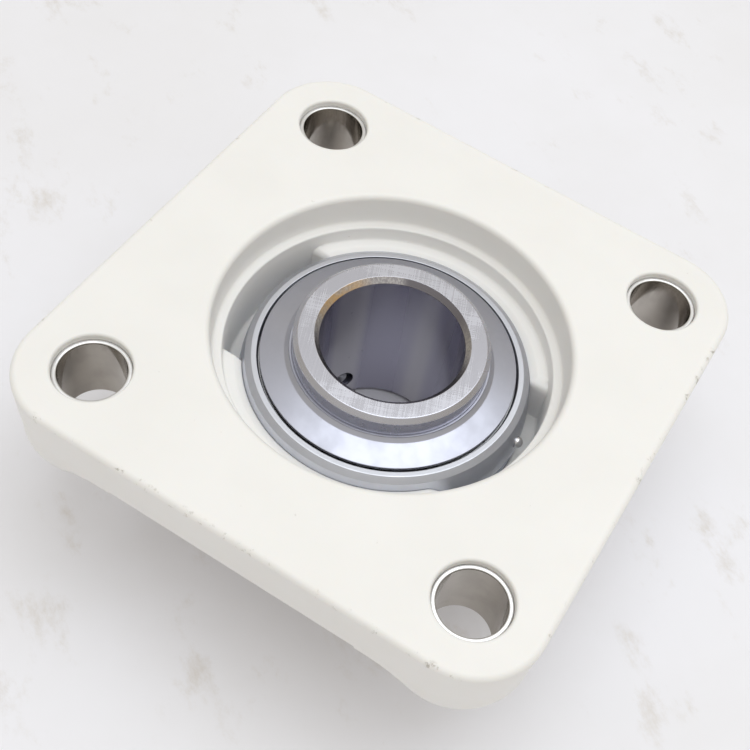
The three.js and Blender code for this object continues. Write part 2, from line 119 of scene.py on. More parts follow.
FINE = 192                # facets of the large turned pieces
MEDIUM = 128              # facets of the bosses, bolt holes and sleeves
PLAIN = 64                # facets of the small turned pieces
BALL_FACETS = 48
TINY = 24                 # facets of the rivets and their holes
SEAT_STEPS = 18           # steps along the arc of the housing's seat
SPHERE_STEPS = 16         # steps along each half of the outer ring's sphere
RACE_STEPS = 24           # steps along the arcs of the races and balls
DOME_STEPS = 12           # steps along the pin's dome
THREAD_STEPS = 10         # rings of points in one turn of a thread
FILLET_STEPS = 5
MERGE = 1e-4              # points nearer than this become one
NUDGE = 0.01              # keeps two surfaces of a cut from lying in one plane
OVERRUN = 1.0             # how far a cutting tool runs past the face it cuts
SMOOTH_ANGLE = math.radians(32)


# ---- shape helpers --------------------------------------------------------------------------------
def arc(centre, radius, start, end, steps):
    """Points on a circle from one angle to another, in degrees, both ends included."""
    angles = [math.radians(start + (end - start) * i / steps) for i in range(steps + 1)]
    return [(centre[0] + radius * math.cos(a), centre[1] + radius * math.sin(a)) for a in angles]


def rounded_corner(before, corner, after, radius):
    """The arc that rounds off a corner between its neighbours, as FILLET_STEPS + 1 points."""
    here = Vector(corner)
    back = (Vector(before) - here).normalized()
    ahead = (Vector(after) - here).normalized()
    half = back.angle(ahead) / 2
    centre = here + (back + ahead).normalized() * radius / math.sin(half)
    start = here + back * radius / math.tan(half) - centre
    end = here + ahead * radius / math.tan(half) - centre
    first = math.atan2(start.y, start.x)
    sweep = (math.atan2(end.y, end.x) - first + math.pi) % (2 * math.pi) - math.pi
    angles = [first + sweep * i / FILLET_STEPS for i in range(FILLET_STEPS + 1)]
    return [(centre.x + radius * math.cos(a), centre.y + radius * math.sin(a)) for a in angles]


def filleted(corners, closed=True):
    """An outline through corners given as (x, y), or as (x, y, fillet radius) to round them off."""
    points = []
    for i, corner in enumerate(corners):
        at_end = not closed and i in (0, len(corners) - 1)
        if len(corner) == 2 or at_end:
            points.append(corner[:2])
            continue
        before, after = corners[i - 1][:2], corners[(i + 1) % len(corners)][:2]
        points += rounded_corner(before, corner[:2], after, corner[2])
    return points


def new_object(name, vertices, faces):
    mesh = bpy.data.meshes.new(name)
    mesh.from_pydata([tuple(v) for v in vertices], [], faces)
    made = bpy.data.objects.new(name, mesh)
    bpy.context.scene.collection.objects.link(made)
    return made


def tidied(obj):
    """Merges doubled points and turns all faces outwards."""
    edited = bmesh.new()
    edited.from_mesh(obj.data)
    bmesh.ops.remove_doubles(edited, verts=edited.verts, dist=MERGE)
    bmesh.ops.recalc_face_normals(edited, faces=edited.faces)
    edited.to_mesh(obj.data)
    edited.free()
    return obj


def lathe(name, outline, segments=FINE, place=None):
    """A closed solid turned about Z from a closed outline of (radius, z) points."""
    count = len(outline)
    vertices, faces = [], []
    for i in range(segments):
        a = 2 * math.pi * i / segments
        vertices += [(r * math.cos(a), r * math.sin(a), z) for r, z in outline]
        here, beyond = i * count, (i + 1) % segments * count
        for j in range(count):
            k = (j + 1) % count
            if outline[j][0] > 0 or outline[k][0] > 0:
                faces.append((here + j, here + k, beyond + k, beyond + j))
    made = tidied(new_object(name, vertices, faces))
    made.data.transform(place or Matrix.Identity(4))
    return made


def loft(name, rings, endless=False):
    """A closed solid through rings of equally many points, capped at both ends or joined end to start."""
    count, total = len(rings[0]), len(rings)
    faces = []
    for i in range(total if endless else total - 1):
        here, beyond = i * count, (i + 1) % total * count
        for j in range(count):
            k = (j + 1) % count
            faces.append((here + j, here + k, beyond + k, beyond + j))
    if not endless:
        last = (total - 1) * count
        faces += [tuple(range(count)), tuple(range(last, last + count))]
    return tidied(new_object(name, [v for ring in rings for v in ring], faces))


def hexagon_prism(name, corner, low, high):
    """A hexagonal prism along Z with its corners at a distance from the axis."""
    outline = [(corner * math.cos(math.pi * k / 3), corner * math.sin(math.pi * k / 3)) for k in range(6)]
    return loft(name, [[(x, y, z) for x, y in outline] for z in (low, high)])


def applied(obj):
    """Makes an object's modifiers part of its mesh."""
    evaluated = obj.evaluated_get(bpy.context.evaluated_depsgraph_get())
    mesh = bpy.data.meshes.new_from_object(evaluated)
    obj.modifiers.clear()
    obj.data = mesh
    return obj


def combined(base, operation, tools):
    """Joins, cuts or intersects base with each tool in turn, and removes the tools."""
    for tool in tools:
        step = base.modifiers.new("combine", "BOOLEAN")
        step.operation = operation
        step.object = tool
        step.solver = "MANIFOLD"
    bpy.context.view_layer.update()
    applied(base)
    for tool in tools:
        bpy.data.objects.remove(tool)
    return base


def turned_to(turn, lift=0.0):
    """Places a piece made along +Z so that it lies outwards at an angle about the bearing axis."""
    upright = Matrix.Rotation(math.radians(90), 4, "Y")
    raised = Matrix.Rotation(-lift, 4, "Y")
    return Matrix.Rotation(math.radians(turn), 4, "Z") @ raised @ upright


def raised_by(z):
    return Matrix.Translation((0, 0, z))


# ---- materials ------------------------------------------------------------------------------------
def coordinates(tree, scale=(1, 1, 1), turn=0.0):
    """Object coordinates, turned about Z and then stretched by scale."""
    source = tree.nodes.new("ShaderNodeTexCoord")
    turned, stretched = (tree.nodes.new("ShaderNodeMapping") for _ in range(2))
    turned.inputs["Rotation"].default_value = (0, 0, math.radians(turn))
    stretched.inputs["Scale"].default_value = scale
    tree.links.new(source.outputs["Object"], turned.inputs["Vector"])
    tree.links.new(turned.outputs["Vector"], stretched.inputs["Vector"])
    return stretched.outputs["Vector"]


def noise_of(tree, vector, scale, detail, roughness=0.55):
    """Noise from about 0.2 to 0.8, with `scale` patches to the metre."""
    texture = tree.nodes.new("ShaderNodeTexNoise")
    texture.inputs["Scale"].default_value = scale
    texture.inputs["Detail"].default_value = detail
    texture.inputs["Roughness"].default_value = roughness
    tree.links.new(vector, texture.inputs["Vector"])
    return texture.outputs["Fac"]


def remapped(tree, value, low, high, to_low=0.0, to_high=1.0):
    """Maps low to high smoothly onto to_low to to_high, and holds the ends beyond them."""
    change = tree.nodes.new("ShaderNodeMapRange")
    change.interpolation_type = "SMOOTHSTEP"
    for name, number in zip(("From Min", "From Max", "To Min", "To Max"), (low, high, to_low, to_high)):
        change.inputs[name].default_value = number
    tree.links.new(value, change.inputs["Value"])
    return change.outputs["Result"]


def calculated(tree, operation, first, second):
    step = tree.nodes.new("ShaderNodeMath")
    step.operation = operation
    for socket, value in zip(step.inputs, (first, second)):
        if isinstance(value, (int, float)):
            socket.default_value = value
        else:
            tree.links.new(value, socket)
    return step.outputs["Value"]


def mixed_colour(tree, factor, first, second):
    """A blend of two colours or sockets. Inputs 6 and 7 and output 2 are the mix node's colour sockets."""
    blend = tree.nodes.new("ShaderNodeMix")
    blend.data_type = "RGBA"
    tree.links.new(factor, blend.inputs["Factor"])
    for socket, value in zip((blend.inputs[6], blend.inputs[7]), (first, second)):
        if isinstance(value, tuple):
            socket.default_value = (*value, 1)
        else:
            tree.links.new(value, socket)
    return blend.outputs[2]


def axis_distance(tree):
    """The distance from the bearing axis, in metres."""
    source = tree.nodes.new("ShaderNodeTexCoord")
    flat = tree.nodes.new("ShaderNodeVectorMath")
    flat.operation = "MULTIPLY"
    flat.inputs[1].default_value = (1, 1, 0)
    length = tree.nodes.new("ShaderNodeVectorMath")
    length.operation = "LENGTH"
    tree.links.new(source.outputs["Object"], flat.inputs[0])
    tree.links.new(flat.outputs["Vector"], length.inputs[0])
    return length.outputs["Value"]


def axis_parts(tree):
    source = tree.nodes.new("ShaderNodeTexCoord")
    parts = tree.nodes.new("ShaderNodeSeparateXYZ")
    tree.links.new(source.outputs["Object"], parts.inputs["Vector"])
    return parts.outputs


def bumped(tree, height, distance, strength=1.0, normal=None):
    bump = tree.nodes.new("ShaderNodeBump")
    bump.inputs["Strength"].default_value = strength
    bump.inputs["Distance"].default_value = distance
    tree.links.new(height, bump.inputs["Height"])
    if normal:
        tree.links.new(normal, bump.inputs["Normal"])
    return bump.outputs["Normal"]


def start_material(name, colour, roughness, metallic=0.0, **constants):
    """A Principled material with these constants on the shader's own sockets."""
    material = bpy.data.materials.new(name)
    material.use_nodes = True
    shader = material.node_tree.nodes["Principled BSDF"]
    shader.inputs["Base Color"].default_value = (*colour, 1)
    shader.inputs["Roughness"].default_value = roughness
    shader.inputs["Metallic"].default_value = metallic
    for key, value in constants.items():
        shader.inputs[key.replace("_", " ")].default_value = value
    return material, material.node_tree, shader


def white_plastic():
    """Moulded thermoplastic polyester: off-white, satin, with scuffs and flash marks on its edges."""
    white, cream = (0.91, 0.904, 0.893), (0.889, 0.882, 0.868)
    speck, scuff = (0.45, 0.42, 0.36), (0.36, 0.33, 0.28)
    material, tree, shader = start_material("white_plastic", white, 0.42, IOR=1.5)
    shader.inputs["Subsurface Weight"].default_value = 0.12
    shader.inputs["Subsurface Radius"].default_value = (1.0, 0.8, 0.6)
    shader.inputs["Subsurface Scale"].default_value = 1.2 * MM
    even = coordinates(tree)
    cloud = remapped(tree, noise_of(tree, even, scale=55, detail=3), 0.3, 0.7)
    body = mixed_colour(tree, cloud, white, cream)
    specks = remapped(tree, noise_of(tree, even, scale=900, detail=2), 0.76, 0.8, 0, 0.25)
    speckled = mixed_colour(tree, specks, body, speck)
    x, y, z = axis_parts(tree)[:3]
    across, along = (calculated(tree, "ABSOLUTE", part, 0) for part in (x, y))
    reach = calculated(tree, "MAXIMUM", across, along)
    # The scuffs keep to a band about 1 mm wide along the plate's top edge.
    by_side = remapped(tree, reach, (SIDE - 1.3) * MM, (SIDE - 0.3) * MM)
    by_top = remapped(tree, z, (FACE - 1.6) * MM, (FACE - 0.6) * MM)
    edge = calculated(tree, "MULTIPLY", by_side, by_top)
    marks = remapped(tree, noise_of(tree, even, scale=420, detail=5, roughness=0.7), 0.57, 0.68)
    worn = calculated(tree, "MULTIPLY", calculated(tree, "MULTIPLY", edge, marks), 0.7)
    tree.links.new(mixed_colour(tree, worn, speckled, scuff), shader.inputs["Base Color"])
    sheen = remapped(tree, noise_of(tree, even, scale=130, detail=4), 0.3, 0.7, 0.36, 0.5)
    tree.links.new(sheen, shader.inputs["Roughness"])
    soft_edges = tree.nodes.new("ShaderNodeBevel")
    soft_edges.inputs["Radius"].default_value = 0.3 * MM
    ripple = bumped(tree, noise_of(tree, even, scale=160, detail=3), 0.05 * MM, 0.5,
                    soft_edges.outputs["Normal"])
    grain = bumped(tree, noise_of(tree, even, scale=3200, detail=2), 0.012 * MM, 0.6, ripple)
    tree.links.new(grain, shader.inputs["Normal"])
    return material


def turned_steel(name, colour, roughness, lines_per_mm, depth, blotch=0.04, anisotropic=0.3):
    """Steel with fine turning or grinding lines that run round the bearing axis."""
    material, tree, shader = start_material(name, colour, roughness, 1.0, Anisotropic=anisotropic)
    tangent = tree.nodes.new("ShaderNodeTangent")
    tangent.direction_type = "RADIAL"
    tangent.axis = "Z"
    tree.links.new(tangent.outputs["Tangent"], shader.inputs["Tangent"])
    along = calculated(tree, "ADD", axis_distance(tree), axis_parts(tree)[2])
    rings = tree.nodes.new("ShaderNodeTexNoise")
    rings.noise_dimensions = "1D"
    rings.inputs["Scale"].default_value = lines_per_mm / MM
    rings.inputs["Detail"].default_value = 3
    tree.links.new(along, rings.inputs["W"])
    cloud = noise_of(tree, coordinates(tree), scale=190, detail=4, roughness=0.6)
    wear = remapped(tree, cloud, 0.35, 0.7, roughness - blotch, roughness + blotch)
    tree.links.new(wear, shader.inputs["Roughness"])
    shade = mixed_colour(tree, remapped(tree, cloud, 0.3, 0.75), colour, tuple(c * 0.93 for c in colour))
    tree.links.new(shade, shader.inputs["Base Color"])
    tree.links.new(bumped(tree, rings.outputs["Fac"], depth * MM, 0.6), shader.inputs["Normal"])
    return material


def ground_steel():
    """A face ground flat: fine straight scratches in two crossing directions."""
    material, tree, shader = start_material("ground_steel", (0.59, 0.6, 0.67), 0.3, 1.0)
    stretch, turn, fine = 0.008, -22, 5200
    first = noise_of(tree, coordinates(tree, (1, stretch, 1), turn), fine, detail=0)
    second = noise_of(tree, coordinates(tree, (stretch, 1, 1), turn), fine, detail=0)
    where = remapped(tree, noise_of(tree, coordinates(tree), scale=130, detail=2), 0.35, 0.65)
    hatch = calculated(tree, "ADD", first, calculated(tree, "MULTIPLY", second, where))
    tree.links.new(bumped(tree, hatch, 0.004 * MM, 0.7), shader.inputs["Normal"])
    glint = remapped(tree, hatch, 0.5, 1.2, 0.23, 0.35)
    tree.links.new(glint, shader.inputs["Roughness"])
    dark, bright = (0.565, 0.572, 0.64), (0.615, 0.622, 0.685)
    tone = mixed_colour(tree, remapped(tree, hatch, 0.45, 1.15), dark, bright)
    tree.links.new(tone, shader.inputs["Base Color"])
    return material


def chamfer_steel():
    """The bore's chamfer, with a straw tint from grinding heat on one stretch and painted dark reflection on
    another.
    """
    material, tree, shader = start_material("chamfer_steel", (0.54, 0.53, 0.55), 0.25, 1.0)
    x, y = axis_parts(tree)[:2]
    angle = calculated(tree, "ARCTAN2", y, calculated(tree, "MULTIPLY", x, -1))
    start = remapped(tree, angle, -0.35, -0.05)
    end = remapped(tree, angle, 0.35, 0.8, 1, 0)
    patch = calculated(tree, "MULTIPLY", start, end)
    uneven = remapped(tree, noise_of(tree, coordinates(tree), scale=260, detail=3), 0.25, 0.6)
    tint = calculated(tree, "MULTIPLY", patch, uneven)
    streaks = noise_of(tree, coordinates(tree, (1, 1, 0.1)), scale=2400, detail=3)
    streaked = mixed_colour(tree, remapped(tree, streaks, 0.35, 0.65), (0.42, 0.41, 0.44), (0.6, 0.59, 0.61))
    # Painted dark reflection: the chamfer's colour is darkened between these two angles about the bearing
    # axis.
    start, end = remapped(tree, angle, 1.1, 1.25), remapped(tree, angle, 2.1, 2.7, 1, 0)
    painted_dark_reflection, straw = (0.22, 0.21, 0.235), (0.72, 0.5, 0.27)
    steel = mixed_colour(tree, calculated(tree, "MULTIPLY", start, end), streaked, painted_dark_reflection)
    tree.links.new(mixed_colour(tree, tint, steel, straw), shader.inputs["Base Color"])
    tree.links.new(bumped(tree, streaks, 0.02 * MM, 0.5), shader.inputs["Normal"])
    return material


def bore_steel():
    """The honed bore: smooth and dark, with broad lengthwise bands of roughness and painted reflection and a
    few pits.
    """
    material, tree, shader = start_material("bore_steel", (0.5, 0.48, 0.51), 0.3, 1.0)
    bands = noise_of(tree, coordinates(tree, (1, 1, 0.02)), scale=130, detail=1)
    spots = noise_of(tree, coordinates(tree), scale=420, detail=3, roughness=0.6)
    tree.links.new(remapped(tree, bands, 0.3, 0.7, 0.24, 0.36), shader.inputs["Roughness"])
    # The colour bands between dark and bright are painted reflection; the pits are the bore's own marks.
    dark, bright, pit = (0.455, 0.445, 0.525), (0.6, 0.59, 0.615), (0.2, 0.2, 0.22)
    shade = mixed_colour(tree, remapped(tree, bands, 0.42, 0.58), dark, bright)
    marked = mixed_colour(tree, remapped(tree, spots, 0.7, 0.78, 0, 0.5), shade, pit)
    tree.links.new(marked, shader.inputs["Base Color"])
    hone = noise_of(tree, coordinates(tree, (0.15, 0.15, 1)), scale=5000, detail=2)
    tree.links.new(bumped(tree, hone, 0.006 * MM, 0.5), shader.inputs["Normal"])
    return material


def polished_steel(name, colour, roughness):
    """Polished stainless with fine random scratches."""
    material, tree, shader = start_material(name, colour, roughness, 1.0)
    scratches = noise_of(tree, coordinates(tree, (1, 1, 0.12), 30), scale=1500, detail=3)
    wear = remapped(tree, scratches, 0.3, 0.75, roughness, roughness + 0.1)
    tree.links.new(wear, shader.inputs["Roughness"])
    stains = remapped(tree, noise_of(tree, coordinates(tree), scale=240, detail=4), 0.35, 0.7)
    shade = mixed_colour(tree, stains, colour, tuple(c * 0.86 for c in colour))
    tree.links.new(shade, shader.inputs["Base Color"])
    tree.links.new(bumped(tree, scratches, 0.004 * MM, 0.5), shader.inputs["Normal"])
    return material


def seal_rubber():
    """Dark rubber with a little pale dust in its grain."""
    rubber, dusty = (0.15, 0.155, 0.185), (0.26, 0.26, 0.28)
    material, tree, shader = start_material("seal_rubber", rubber, 0.5)
    grain = noise_of(tree, coordinates(tree), scale=1800, detail=4)
    dust = remapped(tree, noise_of(tree, coordinates(tree), scale=300, detail=4), 0.5, 0.8, 0, 0.35)
    tree.links.new(mixed_colour(tree, dust, rubber, dusty), shader.inputs["Base Color"])
    tree.links.new(bumped(tree, grain, 0.02 * MM), shader.inputs["Normal"])
    return material


def table_top():
    """A pale, slightly smudged table top."""
    material, tree, shader = start_material("table_top", (0.87, 0.87, 0.87), 0.55)
    even = coordinates(tree)
    cloud = remapped(tree, noise_of(tree, even, scale=9, detail=5, roughness=0.6), 0.35, 0.7)
    pale = mixed_colour(tree, cloud, (0.897, 0.9, 0.955), (0.855, 0.853, 0.89))
    drawn_out = coordinates(tree, (1, 1.7, 1), 35)
    smudge = remapped(tree, noise_of(tree, drawn_out, scale=34, detail=7, roughness=0.7), 0.55, 0.74, 0, 0.6)
    brown = (0.62, 0.565, 0.5)
    tree.links.new(mixed_colour(tree, smudge, pale, brown), shader.inputs["Base Color"])
    return material


finishes = {
    "white_plastic": white_plastic(),
    "ground_steel": ground_steel(),
    "chamfer_steel": chamfer_steel(),
    "bore_steel": bore_steel(),
    "ring_steel": turned_steel("ring_steel", (0.585, 0.59, 0.66), 0.27, 9, 0.004),
    "race_steel": turned_steel("race_steel", (0.72, 0.72, 0.74), 0.12, 14, 0.003, 0.03, 0.2),
    "outer_steel": turned_steel("outer_steel", (0.6, 0.615, 0.67), 0.33, 7, 0.007),
    "flinger_steel": turned_steel("flinger_steel", (0.465, 0.475, 0.545), 0.34, 5, 0.003, 0.05),
    "pressed_steel": polished_steel("pressed_steel", (0.55, 0.56, 0.58), 0.26),
    # The sleeves' warm dark brown is painted reflection, and their rims take a bright copy of the same steel
    # as a painted highlight.
    "bushing_steel": polished_steel("bushing_steel", (0.44, 0.41, 0.37), 0.1),
    "painted_highlight_rim_steel": polished_steel("painted_highlight_rim_steel", (0.86, 0.86, 0.87), 0.32),
    "plain_steel": polished_steel("plain_steel", (0.45, 0.45, 0.47), 0.3),
    "ball_steel": polished_steel("ball_steel", (0.72, 0.72, 0.74), 0.06),
    "seal_rubber": seal_rubber(),
}


# ---- setting pieces into the frame ----------------------------------------------------------------
body_of = {node: body for body, nodes in frame["record"]["behaviour"]["bodies"].items() for node in nodes}


def settled(obj, node, finish, rules=()):
    """Scales a finished shape to metres and puts it in its CAD node's place, with its finishes."""
    obj.name = node + "_fine"
    obj.data.materials.clear()
    for name in (finish, *(name for name, _ in rules)):
        obj.data.materials.append(finishes[name])
    for face in obj.data.polygons:
        matches = [i for i, (_, rule) in enumerate(rules, 1) if rule(face)]
        face.material_index = matches[0] if matches else 0
    obj.data.transform(Matrix.Scale(MM, 4))
    obj.data.shade_smooth()
    obj.data.set_sharp_from_angle(angle=SMOOTH_ANGLE)
    normals = obj.modifiers.new("even_normals", "WEIGHTED_NORMAL")
    normals.keep_sharp = True
    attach(obj, body_of[node])
    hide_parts(node)
    return obj


# ---- housing --------------------------------------------------------------------------------------
def square_ring(inset, z, wobble=0.0):
    """The plate's outline as a rounded square, pulled in by inset, with a slight moulded waver."""
    centre = SIDE - PLATE.corner
    radius = PLATE.corner - inset
    corners = []
    for quarter, (sx, sy) in enumerate([(1, 1), (-1, 1), (-1, -1), (1, -1)]):
        start = 90 * quarter
        corners.append(arc((sx * centre, sy * centre), radius, start, start + 90, PLATE.corner_steps))
    ring = []
    for quarter, corner in enumerate(corners):
        ring += corner
        (x0, y0), (x1, y1) = corner[-1], corners[(quarter + 1) % 4][0]
        steps = PLATE.side_steps
        ring += [(x0 + (x1 - x0) * i / steps, y0 + (y1 - y0) * i / steps) for i in range(1, steps)]
    placed = []
    for x, y in ring:
        waver = 0.5 + 0.5 * noise.noise(Vector((x, y, z)) * PLATE.waver_scale)
        pull = wobble * waver / math.hypot(x, y)
        placed.append((x * (1 - pull), y * (1 - pull), z))
    return placed


def plate():
    side = filleted([(PLATE.cap, PLATE_FOOT), (PLATE.draft, PLATE_FOOT, PLATE.low_edge),
                     (0, FACE, PLATE.top_edge), (PLATE.cap, FACE)], closed=False)
    return loft("plate", [square_ring(inset, z, PLATE.waver * min(1, max(inset, 0.0)))
                          for inset, z in side[1:-1]])


def hub():
    return lathe("hub", filleted([
        (0, HUB_FRONT), (HUB.radius, HUB_FRONT, HUB.edge), (HUB.root, PLATE_FOOT, HUB.fillet),
        (HUB.reach, PLATE_FOOT), (HUB.reach, PLATE_FOOT + OVERRUN), (0, PLATE_FOOT + OVERRUN),
    ]))


def boss(place):
    """A bolt boss that flares into the plate's underside, kept inside the plate's drafted side."""
    root, top = PLATE_FOOT + NUDGE, PLATE_FOOT + BOSS.overlap
    made = lathe("boss", filleted([
        (0, BOSS.foot), (BOSS.radius, BOSS.foot, BOSS.edge), (BOSS.root_radius, root, BOSS.flare),
        (BOSS.reach, root), (BOSS.reach, top), (0, top),
    ]), MEDIUM, Matrix.Translation((*place, 0)))
    inset = PLATE.draft + NUDGE * 3
    return combined(made, "INTERSECT", [loft("limit", [
        square_ring(inset, BOSS.foot - OVERRUN), square_ring(inset, PLATE_FOOT + BOSS.limit_top)])])


def rib(turn):
    """A tapered web from the hub down to a bolt boss, its side edges drawn in towards its middle."""
    root, half, reach = PLATE_FOOT + OVERRUN, RIB.width / 2, RIB.middle_reach
    outline = filleted([
        (RIB.inner, RIB.front), (RIB.crest, RIB.front, RIB.round), (RIB.outer, RIB.foot, RIB.round),
        (RIB.outer, root), (RIB.inner, root),
    ])
    across_and_shrink = filleted([(-half, RIB.edge), (-half, 0, RIB.edge), (half, 0, RIB.edge),
                                  (half, RIB.edge)], closed=False)
    middle_x, middle_z = RIB.middle
    rings = []
    for across, shrink in across_and_shrink:
        rings.append([(x + (middle_x - x) * shrink / reach, across, z + (middle_z - z) * shrink / reach)
                      for x, z in outline])
    made = loft("rib", rings)
    made.data.transform(Matrix.Rotation(math.radians(turn), 4, "Z"))
    return made


def radial(outline, turn):
    """A turned tool or boss at bearing height, made from (radius, distance from the axis) points."""
    return lathe("radial", outline, PLAIN, raised_by(CENTRE) @ turned_to(turn))


def cavity():
    """Front opening, spherical seat, shoulder, ledge and recess, as one turned tool."""
    ledge, shoulder = FACE - RECESS.ledge, FACE - RECESS.shoulder
    groove = FRONT.groove_round
    low = -math.degrees(math.acos(FRONT.radius / SEAT))
    high = math.degrees(math.asin((FACE - RECESS.lip_depth - CENTRE) / SEAT))
    return lathe("cavity", filleted([
        (0, HUB_FRONT - OVERRUN), (FRONT.mouth, HUB_FRONT - OVERRUN), (FRONT.mouth, HUB_FRONT),
        (FRONT.radius, HUB_FRONT + FRONT.chamfer, FRONT.chamfer_round),
        (FRONT.radius, FRONT.groove_low, groove), (FRONT.groove, FRONT.groove_low, groove),
        (FRONT.groove, FRONT.groove_high, groove), (FRONT.radius, FRONT.groove_high, groove),
        *arc((0, CENTRE), SEAT, low, high, SEAT_STEPS)[1:],
        (RECESS.lip, shoulder, RECESS.lip_round), (RECESS.step_foot, shoulder, RECESS.shoulder_round),
        (RECESS.step_top, ledge, RECESS.ledge_round), (RECESS.foot, ledge, RECESS.foot_round),
        (RECESS.top, FACE + NUDGE, RECESS.rim_round), (RECESS.top + RECESS.clear, FACE + NUDGE),
        (RECESS.top + RECESS.clear, FACE + OVERRUN), (0, FACE + OVERRUN),
    ]))


def widened(radius, depth):
    """How far the rounded top edge of an end wall has drawn back at a depth under the shoulder."""
    rise = min(radius, max(0.0, radius - depth))
    return radius - math.sqrt(radius ** 2 - rise ** 2)


def loading_slot(side, span, rounds):
    """A pocket flush with the step's wall, between two end walls whose top edges are rounded."""
    foot, shoulder = FACE - SLOT.floor, FACE - RECESS.shoulder
    head = shoulder + RECESS.shoulder_round + SLOT.lift
    wall = RECESS.step_foot + NUDGE
    slope = (RECESS.step_top - RECESS.step_foot) / (RECESS.shoulder - RECESS.ledge)
    pocket = lathe("slot", filleted([
        (0, foot), (wall, foot, SLOT.floor_round), (wall, shoulder),
        (wall + slope * (head - shoulder), head), (0, head),
    ]))
    x0, x1 = sorted((side * SLOT.inner, side * (wall + SLOT.past_wall)))
    steps = SLOT.steps
    depths = [SLOT.floor + OVERRUN, *(max(rounds) * (1 - i / steps) for i in range(steps + 1)), -OVERRUN]
    rings = []
    for depth in depths:
        y0, y1 = span[0] - widened(rounds[0], depth), span[1] + widened(rounds[1], depth)
        rings.append([(x, y, shoulder - depth) for x, y in ((x0, y0), (x1, y0), (x1, y1), (x0, y1))])
    return combined(pocket, "INTERSECT", [loft("limit", rings)])


def bolt_hole(place):
    hole, wide = BOLT_HOLE, BOLT_HOLE.radius + OVERRUN
    return lathe("bolt_hole", filleted([
        (0, BOSS.foot - OVERRUN), (wide, BOSS.foot - OVERRUN), (wide, BOSS.foot - NUDGE),
        (hole.radius, BOSS.foot - NUDGE, hole.foot_round), (hole.radius, FACE + NUDGE, hole.mouth_round),
        (wide, FACE + NUDGE), (wide, FACE + OVERRUN), (0, FACE + OVERRUN),
    ]), MEDIUM, Matrix.Translation((*place, 0)))


def housing():
    n = NIPPLE
    made = combined(plate(), "UNION", [
        hub(), *(boss(place) for place in BOLT_PLACES), *(rib(turn) for turn in RIB.turns),
        radial(filleted([(0, n.boss_foot), (n.boss, n.boss_foot), (n.boss, n.boss_face, n.boss_round),
                         (0, n.boss_face)]), n.turn)])
    return combined(made, "DIFFERENCE", [
        cavity(),
        loading_slot(-1, SLOT.left, SLOT.left_rounds), loading_slot(1, SLOT.right, SLOT.right_rounds),
        *(bolt_hole(place) for place in BOLT_PLACES),
        radial([(0, n.boss_face), (n.spot, n.boss_face), (n.spot, n.tip), (0, n.tip)], n.turn),
        radial([(0, n.hole_foot), (n.thread_hole, n.hole_foot), (n.thread_hole, n.boss_face + OVERRUN),
                (0, n.boss_face + OVERRUN)], n.turn),
        radial([(0, SEAT - OVERRUN), (n.channel, SEAT - OVERRUN), (n.channel, n.hole_foot + OVERRUN),
                (0, n.hole_foot + OVERRUN)], n.turn)])


settled(housing(), "housing", "white_plastic")


# ---- sleeves in the bolt holes --------------------------------------------------------------------
def bushing(place):
    b = BUSHING
    return lathe("bushing", filleted([
        (b.bore, b.low, b.edge), (b.outer, b.low, b.edge),
        (b.outer, b.high, b.edge), (b.bore, b.high, b.edge),
    ]), MEDIUM, Matrix.Translation((*place, 0)))


# The sleeves' end faces take the bright copy of the sleeve steel, a painted highlight.
RIM_SLOPE = 0.5           # Z of the normal of a face that belongs to a sleeve's rim


def on_rim(face):
    return abs(face.normal.z) > RIM_SLOPE


for index, place in enumerate(BOLT_PLACES, 1):
    settled(bushing(place), f"bolt_bushing_{index}", "bushing_steel", [("painted_highlight_rim_steel", on_rim)])


# ---- insert bearing, made with its centre at the origin -------------------------------------------
def bearing_height(obj):
    obj.data.transform(raised_by(CENTRE))
    return obj


def mirrored(outline):
    return [(r, -z) for r, z in reversed(outline)]


def outer_ring():
    o = OUTER
    end = math.degrees(math.asin(o.sphere_z / o.radius))
    groove = math.degrees(math.asin(o.groove_half / o.radius))
    race = BALL.pitch + BALL.radius + BALL.gap - BALL.race
    race_end = math.degrees(math.acos((o.land - race) / BALL.race))
    bottom = o.radius - o.groove_depth
    outline = filleted([
        (o.mouth, -o.half, o.mouth_edge), (o.flat, -o.half, o.edge),
        *arc((0, 0), o.radius, -end, -groove, SPHERE_STEPS),
        (bottom, -o.groove_half, o.fine_edge), (bottom, o.groove_half, o.fine_edge),
        *arc((0, 0), o.radius, groove, end, SPHERE_STEPS),
        (o.flat, o.half, o.edge), (o.mouth, o.half, o.mouth_edge),
        (o.mouth, o.seat_z), (o.land, o.seat_z - o.land_drop, o.fine_edge),
        *arc((race, 0), BALL.race, race_end, -race_end, RACE_STEPS),
        (o.land, -o.seat_z + o.land_drop, o.fine_edge), (o.mouth, -o.seat_z),
    ])
    hole = lathe("pin_hole", [
        (0, PIN.hole_foot), (PIN.hole, PIN.hole_foot), (PIN.hole, PIN.hole_end), (0, PIN.hole_end),
    ], PLAIN, along_pin())
    return combined(lathe("outer_ring", outline), "DIFFERENCE", [hole])


def along_pin():
    return turned_to(PIN.turn, math.asin(PIN.rise / OUTER.radius))


def pin():
    dome = arc((0, PIN.shank), PIN.radius, 0, 90, DOME_STEPS)
    return lathe("pin", [(0, PIN.inner), (PIN.radius, PIN.inner), *dome], PLAIN, along_pin())


